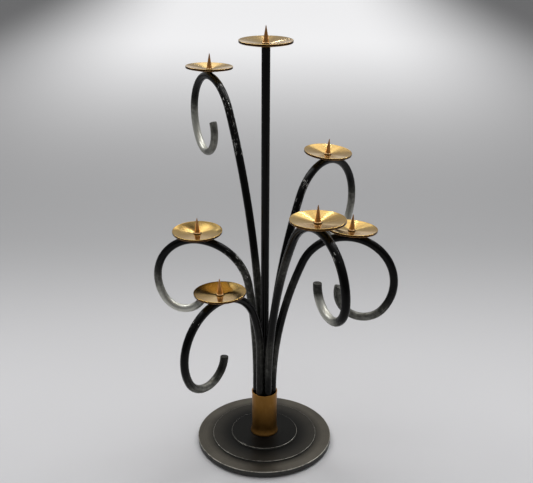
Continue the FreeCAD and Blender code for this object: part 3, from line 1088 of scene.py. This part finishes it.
@dataclass
class BentArm:
    """A bent bar: straight out of the collar, a lean, a shoulder under its pan, a loop and a tighter curl.

    The black goes from the bar over a range of headings, and comes back in part towards the end. Scuffs and
    painted sheens are measured along the bar from the middle of its seat, and the painted sheen above its
    foot from its lower end.
    """

    socket_level: float
    seat: Seat
    slot_number: int
    aim: float
    rise: float
    lean_radius: float
    lean_turn: float
    shoulder_radius: float
    seat_tilt: float
    seat_roll: float
    loop_radius: float
    loop_turn: float
    curl_radius: float
    curl_turn: float
    bare_from: float = 165.0
    bare_to: float = 255.0
    bare_share: float = 0.7
    dull_from: float = 265.0
    dull_to: float = 335.0
    dull_share: float = 0.4
    scuffs: tuple[ScuffAndSheen, ...] = ()
    # Stretches of painted sheen: lighter steel painted where light falls on the bar.
    painted_sheens: tuple[ScuffAndSheen, ...] = ()
    # Painted sheen on the bar just above the collar.
    foot_sheen: ScuffAndSheen = ScuffAndSheen(0.06, 0.17, 0.28, 0.04)
    gripped: float = 0.0629
    pitch: float = 0.0101
    first_slot: float = -5.0
    slots: int = 6
    seat_depth: float = 0.0004
    seat_reach: float = 0.0058
    sides: int = 40
    step_turn: float = 2.5
    lean_step_turn: float = 0.8

    @property
    def straight(self) -> float:
        """Length of the bar before its first bend."""
        return self.gripped + self.rise

    @property
    def flat_level(self) -> float:
        """Height of the filed flat above the middle line."""
        return BAR_RADIUS - self.seat_depth

    @property
    def bends(self) -> list[Spot]:
        """The arcs that the bar is bent to, from the collar to its end.

        Returns:
            The (radius, turn) of each arc.
        """
        return [
            (self.lean_radius, self.lean_turn),
            (self.shoulder_radius, 90 + self.seat_tilt - self.lean_turn),
            (self.loop_radius, self.loop_turn),
            (self.curl_radius, self.curl_turn),
        ]

    @property
    def foot(self) -> Matrix:
        """Where the bar stands.

        Returns:
            Frame of its lower end, with X pointing the way it leans.
        """
        spot = math.radians(self.first_slot + self.slot_number * 360 / self.slots)
        place = Vector((self.pitch * math.cos(spot), self.pitch * math.sin(spot), self.socket_level))
        return Matrix.Translation(place) @ Matrix.Rotation(math.radians(self.aim), 4, "Z")

    @property
    def crest(self) -> Matrix:
        """Where the bar carries its pan, seen from its lower end.

        Returns:
            Frame of the middle line under the pan, tilted and rolled as the pan is.
        """
        lean = math.radians(self.lean_turn)
        flat = math.radians(90 + self.seat_tilt)
        out = self.lean_radius * (1 - math.cos(lean))
        out += self.shoulder_radius * (math.cos(lean) - math.cos(flat))
        up = self.straight + self.lean_radius * math.sin(lean)
        up += self.shoulder_radius * (math.sin(flat) - math.sin(lean))
        tilt = Matrix.Rotation(math.radians(self.seat_tilt), 4, "Y")
        roll = Matrix.Rotation(math.radians(self.seat_roll), 4, "X")
        return Matrix.Translation((out, 0, up)) @ tilt @ roll

    @property
    def pan_place(self) -> Matrix:
        """Frame of the flat that the pan sits on."""
        return self.foot @ self.crest @ Matrix.Translation((0, 0, self.flat_level))

    def arcs(self) -> list[tuple[Vector, float, float, float]]:
        """Lay the arcs end to end in the bar's plane.

        A heading is the angle of the middle line from upright, turning outwards.

        Returns:
            The (centre, radius, first heading, turn) of each arc, angles in radians.
        """
        found = []
        end = Vector((0, 0, self.straight))
        heading = 0.0
        for radius, degrees in self.bends:
            turn = math.radians(degrees)
            centre = end + radius * Vector((math.cos(heading), 0, -math.sin(heading)))
            found.append((centre, radius, heading, turn))
            heading += turn
            end = centre + radius * Vector((-math.cos(heading), 0, math.sin(heading)))
        return found

    def straightened(self, point: Vector) -> tuple[Vector, float]:
        """Return where a point would lie if the bar were straight.

        Args:
            point: A point of the bar, seen from its lower end.

        Returns:
            The place as (towards the outside of the bends, sideways, along the bar), and the heading there.
        """
        best = (abs(point.x), Vector((-point.x, point.y, point.z)), 0.0)
        if point.z > self.straight:
            best = (math.inf, best[1], 0.0)
        along = self.straight
        for centre, radius, first, turn in self.arcs():
            arm = point - centre
            out = math.hypot(arm.x, arm.z) - radius
            turned = (math.atan2(arm.z, -arm.x) - first) % math.tau
            if turned > (math.tau + turn) / 2:
                turned -= math.tau
            missed = max(0.0, -turned, turned - turn) * radius
            distance = math.hypot(out, missed)
            if distance < best[0]:
                best = (distance, Vector((out, point.y, along + turned * radius)), first + turned)
            along += radius * turn
        return best[1], best[2]

    def shape_bar(self) -> Piece:
        """Extrude the round section up and spin it round each bend.

        Returns:
            The bar, standing on the origin.
        """
        work = Workpiece.from_disc(f"bent_bar_{self.seat.value}", BAR_RADIUS, self.sides)
        work.raise_by(self.straight)
        for index, (centre, _, _, turn) in enumerate(self.arcs()):
            step = self.lean_step_turn if index == 0 else self.step_turn
            steps = math.ceil(math.degrees(turn) / step)
            bpy.ops.mesh.spin(steps=steps, angle=-turn, center=centre, axis=(0, 1, 0))
        bpy.ops.mesh.region_to_loop()
        bpy.ops.mesh.bevel(offset=BAR_CHAMFER, segments=2, affect="EDGES")
        work.close()
        return work.lift_off()

    def file_seat(self, bar: Piece) -> None:
        """Flatten the bar under its pan.

        Args:
            bar: The bar, standing on the origin.
        """
        level = self.flat_level
        set_down(bar, self.crest.inverted())
        bpy.ops.object.mode_set(mode="EDIT")
        bpy.ops.mesh.select_mode(type="VERT")
        bpy.ops.mesh.select_all(action="DESELECT")
        mesh = bmesh.from_edit_mesh(bar.data)
        for vert in mesh.verts:
            vert.select_set(vert.co.z > level and vert.co.xy.length < self.seat_reach)
        bmesh.update_edit_mesh(bar.data)
        bpy.ops.transform.resize(value=(1, 1, 0), center_override=(0, 0, level))
        bpy.ops.object.mode_set(mode="OBJECT")
        set_down(bar, self.crest)

    def bareness(self, heading: float) -> float:
        """Work out how far the black has worn off.

        Args:
            heading: Heading of the bar.

        Returns:
            Nought where the bar is black, and about 1 where it is bare.
        """
        worn = smooth_step((heading - self.bare_from) / (self.bare_to - self.bare_from))
        dulled = smooth_step((heading - self.dull_from) / (self.dull_to - self.dull_from))
        return self.bare_share * worn * (1 - dulled * (1 - self.dull_share))

    def note_wear(self, bar: Piece) -> None:
        """Store the straightened place, the bareness with the painted sheen added in, and the scuffs of each
        point.

        Args:
            bar: The bar, standing on the origin.
        """
        seat_along = self.straight + sum(radius * math.radians(turn) for radius, turn in self.bends[:2])
        bare, scuffed, places = [], [], []
        for vert in bar.data.vertices:
            place, heading = self.straightened(vert.co)
            along = place.z - seat_along
            places.append(place)
            scuffed.append(max((scuff.at(along) for scuff in self.scuffs), default=0.0))
            # Painted sheen, stored together with the bareness.
            rubbed = max((painted_sheen.at(along) for painted_sheen in self.painted_sheens), default=0.0)
            bare.append(max(self.bareness(math.degrees(heading)), rubbed, self.foot_sheen.at(place.z)))
        note(bar, OWN_PLACE, places)
        note(bar, BARE_AND_SHEEN, bare)
        note(bar, SCUFF, scuffed)

    def build(self, finish: Material) -> None:
        """Bend the bar, file its seat and dress it.

        Args:
            finish: Finish of the bars.
        """
        bar = self.shape_bar()
        self.note_wear(bar)
        self.file_seat(bar)
        set_down(bar, self.foot)
        hand_over(bar, f"arm_{self.seat.value}", finish)


@dataclass
class Light:
    """A turned drip pan and the spike that is screwed through it, both measured from the pan's seat."""

    pan_radius: float = 0.031
    pan_height: float = 0.0082
    dish_depth: float = 0.0041
    edge_thickness: float = 0.0028
    edge_round: float = 0.0005
    floor_radius: float = 0.0055
    foot_radius: float = 0.005
    hole_radius: float = 0.00215
    spike_length: float = 0.02
    spike_radius: float = 0.0035
    tip_radius: float = 0.0004
    ring_radius: float = 0.0042
    ring_height: float = 0.0015
    ring_round: float = 0.00035
    stud_radius: float = 0.002
    stud_grip: float = 0.006
    pan_sides: int = 160
    spike_sides: int = 48

    @property
    def floor_level(self) -> float:
        """Level of the pan's floor."""
        return self.pan_height - self.dish_depth

    @property
    def ring_level(self) -> float:
        """Level of the top of the spike's foot ring."""
        return self.floor_level + self.ring_height

    @property
    def tip_level(self) -> float:
        """Level of the spike's tip."""
        return self.floor_level + self.spike_length

    def shape_pan(self) -> Piece:
        """Turn the pan.

        Returns:
            The pan, with its seat on the origin.
        """
        lower_edge = (self.pan_radius, self.pan_height - self.edge_thickness)
        upper_edge = (self.pan_radius, self.pan_height)
        foot = (self.foot_radius, 0.0)
        floor = (self.floor_radius, self.floor_level)
        work = Workpiece.turned("drip_pan", [
            (self.hole_radius, 0.0),
            foot,
            *held(foot, lower_edge),
            lower_edge,
            upper_edge,
            *held(upper_edge, floor),
            floor,
            (self.hole_radius, self.floor_level),
        ], self.pan_sides)
        work.round_rings([lower_edge, upper_edge], self.edge_round, segments=4)
        return work.lift_off()

    def shape_spike(self) -> Piece:
        """Turn the spike, with its foot ring and stud.

        Returns:
            The spike, with the pan's seat on the origin.
        """
        ring_foot = (self.ring_radius, self.floor_level)
        ring_top = (self.ring_radius, self.ring_level)
        root = (self.spike_radius, self.ring_level)
        tip = (self.tip_radius, self.tip_level)
        work = Workpiece.turned("spike", [
            (0.0, -self.stud_grip),
            (self.stud_radius, -self.stud_grip),
            (self.stud_radius, self.floor_level),
            ring_foot,
            ring_top,
            root,
            *held(root, tip),
            tip,
            (0.0, self.tip_level),
        ], self.spike_sides)
        work.round_rings([ring_foot, ring_top], self.ring_round, segments=3)
        work.round_rings([tip], self.tip_radius / 2, segments=2)
        return work.lift_off()

    def build(self, places: dict[Seat, Matrix]) -> None:
        """Shape one pan and one spike, and set a copy of each down on every seat.

        Args:
            places: Frame of each seat.
        """
        pan_brass = TurnedBrass(self.pan_radius, self.pan_height, self.floor_level, self.ring_radius)
        spike_brass = SpikeBrass(self.floor_level, self.ring_level, self.tip_level)
        patterns = [
            (self.shape_pan(), "pan", Slot.PAN, pan_brass.material()),
            (self.shape_spike(), "pricket", Slot.SPIKE, spike_brass.material()),
        ]
        for pattern, node, slot, finish in patterns:
            note_own_place(pattern)
            for seat, place in places.items():
                piece = pattern.copy()
                piece.data = pattern.data.copy()
                piece.name = f"{pattern.name}_{seat.value}"
                piece.data.name = piece.name
                bpy.context.scene.collection.objects.link(piece)
                set_down(piece, place)
                hand_over(piece, f"{node}_{seat.value}", finish)
            bpy.data.objects.remove(pattern)


@dataclass(frozen=True)
class Softbox:
    """A rectangular lamp that the camera doesn't see. Without an aim it faces straight to the front."""

    name: str
    place: Place
    size: Spot
    power: float
    tint: Colour = WHITE
    aim: Place | None = None

    def hang(self) -> None:
        """Add the lamp to the scene."""
        aim = self.aim or (self.place[0], 0.0, self.place[2])
        bpy.ops.object.light_add(type="AREA", location=self.place)
        lamp = bpy.context.object
        lamp.name = self.name
        lamp.rotation_euler = (Vector(aim) - Vector(self.place)).to_track_quat("-Z", "Y").to_euler()
        lamp.data.shape = "RECTANGLE"
        lamp.data.size, lamp.data.size_y = self.size
        lamp.data.energy = self.power
        lamp.data.color = self.tint
        lamp.visible_camera = False


@dataclass
class Studio:
    """The table, the light and the camera."""

    floor_radius: float = 9.0
    floor_sides: int = 96
    # Painted light and shade on the floor: pale near the object, painted shade behind it, a painted pool of
    # light far behind it and painted shade in its far corners.
    near_floor: Colour = (0.62, 0.618, 0.627)
    middle_floor: Colour = (0.37, 0.37, 0.375)
    far_floor: Colour = (0.95, 0.95, 0.955)
    far_corner: Colour = (0.30, 0.30, 0.30)
    shade_range: Range = (0.0, 0.75)
    glow_range: Range = (0.8, 3.3)
    corner_range: Range = (0.45, 1.45)
    far_glow: float = 0.42
    sky_tint: Colour = (1.0, 1.0, 1.02)
    front_sky: float = 0.4
    front_range: Range = (-0.7, 0.1)
    low_sky: float = 0.25
    high_sky: float = 0.66
    high_range: Range = (0.45, 0.66)
    horizon: float = 0.42
    back_sky: float = 0.12
    horizon_range: Range = (0.12, 0.19)
    back_range: Range = (0.5, 0.9)
    middle: Place = (0.0, 0.0, 0.3)
    warm: Colour = (1.0, 0.98, 0.80)
    lens: float = 60.52
    sensor: float = 36.0
    camera_place: Place = (0.00164, -1.0110, 0.6907)
    camera_pitch: float = 68.0
    camera_roll: float = 0.2765

    @property
    def lamps(self) -> list[Softbox]:
        """Three lamps that light the object, and the panels and tubes behind it that its pans mirror.

        Returns:
            The lamps, in the order that they are hung.
        """
        return [
            Softbox("ceiling", (0.0, 0.3, 1.85), (1.8, 1.1), 15.0, aim=self.middle),
            Softbox("left_strip", (-0.75, 0.68, 1.3), (0.3, 0.7), 4.0, aim=self.middle),
            Softbox("right_strip", (0.75, 0.68, 1.3), (0.3, 0.7), 4.0, aim=self.middle),
            Softbox("right_panel", (0.72, 2.5, 1.87), (0.84, 0.5), 1.35, self.warm),
            Softbox("middle_panel", (0.1, 2.5, 2.09), (0.4, 0.34), 0.43, self.warm),
            Softbox("left_panel", (-0.84, 2.5, 2.27), (0.92, 0.5), 1.5, self.warm),
            Softbox("side_panel", (0.28, 2.5, 1.53), (0.12, 0.26), 0.1, self.warm),
            Softbox("left_low_panel", (-0.62, 2.5, 1.84), (0.3, 0.36), 0.28, self.warm),
            Softbox("low_panel", (-0.114, 0.9, 0.80), (0.11, 0.07), 0.045, self.warm),
            Softbox("low_tube", (-0.04, 0.9, 0.787), (0.011, 0.05), 0.02),
            Softbox("middle_tube", (0.035, 2.48, 2.07), (0.03, 0.12), 0.18),
            Softbox("right_tube", (0.445, 2.48, 1.99), (0.03, 0.10), 0.18),
        ]

    def lay_floor(self) -> None:
        """Lay the pale floor, with painted shade a little way behind the object, a painted pool of light far
        behind it that also glows, and painted shade towards the far corners.
        """
        bpy.ops.object.select_all(action="DESELECT")
        bpy.ops.mesh.primitive_circle_add(
            vertices=self.floor_sides, radius=self.floor_radius, fill_type="NGON"
        )
        floor = bpy.context.object
        floor.name = "floor"
        graph = FinishGraph("pale_table")
        across, depth, _ = graph.split(graph.object_place())
        aside = graph.ramp(graph.maths("ABSOLUTE", across), *self.corner_range)
        far = graph.mix(aside, self.far_floor, self.far_corner)
        near = graph.mix(graph.ramp(depth, *self.shade_range), self.near_floor, self.middle_floor)
        path = graph.add("ShaderNodeLightPath").outputs
        seen = graph.plus(path["Is Camera Ray"], path["Is Glossy Ray"])
        seen = graph.plus(seen, path["Is Transmission Ray"], clamp=True)
        # Painted light: the far floor glows for the camera and in reflections.
        glow = graph.ramp(depth, *self.glow_range, 0.0, self.far_glow)
        glow = graph.times(glow, graph.minus(1.0, aside))
        floor.data.materials.append(graph.surface({
            "Base Color": graph.mix(graph.ramp(depth, *self.glow_range), near, far),
            "Roughness": 0.9,
            "Specular IOR Level": 0.1,
            "Emission Color": WHITE,
            "Emission Strength": graph.times(glow, seen),
        }))

    def hang_sky(self) -> None:
        """Surround the table with soft light, dim in front, and brighter along the horizon and high up."""
        world = bpy.data.worlds.new("light_tent")
        world.use_nodes = True
        bpy.context.scene.world = world
        graph = NodeGraph(world.node_tree)
        background = next(node for node in graph.tree.nodes if node.type == "BACKGROUND")
        _, depth, height = graph.split(graph.add("ShaderNodeTexCoord").outputs["Generated"])
        share = graph.ramp(depth, *self.front_range, self.front_sky, 1.0)
        high = graph.ramp(height, *self.high_range, self.low_sky, self.high_sky)
        low = graph.ramp(height, *self.horizon_range, self.horizon, self.back_sky)
        low = graph.times(low, graph.ramp(depth, *self.back_range))
        graph.feed(background.inputs["Strength"], graph.times(share, graph.plus(high, low)))
        graph.feed(background.inputs["Color"], (*self.sky_tint, 1.0))

    def set_camera(self) -> None:
        """Stand the camera where the photograph was taken from."""
        bpy.ops.object.camera_add(location=self.camera_place)
        camera = bpy.context.object
        pitch = Matrix.Rotation(math.radians(self.camera_pitch), 4, "X")
        roll = Matrix.Rotation(math.radians(self.camera_roll), 4, "Z")
        camera.matrix_world = Matrix.Translation(self.camera_place) @ pitch @ roll
        camera.data.lens = self.lens
        camera.data.sensor_width = self.sensor
        camera.data.sensor_fit = "HORIZONTAL"
        bpy.context.scene.camera = camera

    def build(self) -> None:
        """Set up the floor, the light and the camera."""
        self.lay_floor()
        self.hang_sky()
        for lamp in self.lamps:
            lamp.hang()
        self.set_camera()
        bpy.context.scene.view_settings.view_transform = "Standard"


def bent_arms(socket_level: float) -> list[BentArm]:
    """Return the six bent arms.

    Args:
        socket_level: Level that the bars stand on.

    Returns:
        The arms, in order round the bundle.
    """
    return [
        BentArm(
            socket_level, Seat.RIGHT, 0, aim=-9, rise=0.0025,
            lean_radius=0.476, lean_turn=22.5, shoulder_radius=0.059, seat_tilt=3, seat_roll=-3.5,
            loop_radius=0.057, loop_turn=126, curl_radius=0.031, curl_turn=156,
            bare_share=0.5, dull_share=0.8, painted_sheens=(ScuffAndSheen(-0.16, -0.07, 0.2, 0.03),),
        ),
        BentArm(
            socket_level, Seat.REAR_RIGHT, 1, aim=51.5, rise=0.0025,
            lean_radius=0.528, lean_turn=27.7, shoulder_radius=0.063, seat_tilt=1.5, seat_roll=4.5,
            loop_radius=0.0635, loop_turn=122.5, curl_radius=0.0305, curl_turn=150,
            bare_from=140, bare_to=225, bare_share=0.9, scuffs=(ScuffAndSheen(-0.11, -0.03),),
        ),
        BentArm(
            socket_level, Seat.REAR_LEFT, 2, aim=116.5, rise=0.028,
            lean_radius=0.592, lean_turn=32.7, shoulder_radius=0.0715, seat_tilt=1.5, seat_roll=2,
            loop_radius=0.056, loop_turn=136, curl_radius=0.03, curl_turn=163,
            bare_from=142, bare_to=222, bare_share=1.1, dull_from=235, dull_to=295, dull_share=0.46,
            scuffs=(ScuffAndSheen(-0.15, -0.005),), painted_sheens=(ScuffAndSheen(-0.36, -0.24, 0.3, 0.04),),
        ),
        BentArm(
            socket_level, Seat.LEFT, 3, aim=167, rise=0.0215,
            lean_radius=0.776, lean_turn=9.4, shoulder_radius=0.066, seat_tilt=0, seat_roll=-1.5,
            loop_radius=0.054, loop_turn=123, curl_radius=0.0285, curl_turn=135,
            bare_from=133, bare_share=1.2,
            scuffs=(ScuffAndSheen(-0.10, -0.02),), painted_sheens=(ScuffAndSheen(-0.20, -0.04, 0.32, 0.03),),
        ),
        BentArm(
            socket_level, Seat.FRONT_LEFT, 4, aim=228, rise=0.058,
            lean_radius=0.158, lean_turn=22.3, shoulder_radius=0.0625, seat_tilt=0, seat_roll=2,
            loop_radius=0.06, loop_turn=118, curl_radius=0.031, curl_turn=148.5,
            bare_share=0.55, scuffs=(ScuffAndSheen(0.02, 0.07),), painted_sheens=(ScuffAndSheen(-0.25, -0.06, 0.16, 0.04),),
        ),
        BentArm(
            socket_level, Seat.FRONT_RIGHT, 5, aim=-63.5, rise=0.0025,
            lean_radius=0.469, lean_turn=29.8, shoulder_radius=0.065, seat_tilt=-1, seat_roll=-0.5,
            loop_radius=0.0615, loop_turn=92.5, curl_radius=0.03, curl_turn=180.5,
            bare_from=190, bare_to=290, bare_share=1.05, dull_from=310, dull_to=350, dull_share=0.25,
            scuffs=(ScuffAndSheen(0.02, 0.07),), painted_sheens=(ScuffAndSheen(-0.16, -0.06, 0.24, 0.04),),
        ),
    ]


def main() -> None:
    """Build the candelabrum and its studio."""
    logging.basicConfig(level=logging.INFO, format="%(message)s")
    foot = Foot()
    foot.build()
    Collar(base_level=foot.crown_level, bore_radius=foot.socket_radius).build()
    bar_finish = BlackenedBar().material()
    post = Post(socket_level=foot.socket_level)
    post.build(bar_finish)
    places = {Seat.TOP: Matrix.Translation((0, 0, post.top_level))}
    for arm in bent_arms(foot.socket_level):
        arm.build(bar_finish)
        places[arm.seat] = arm.pan_place
    Light().build(places)
    Studio().build()


if __name__ == "__main__":
    main()
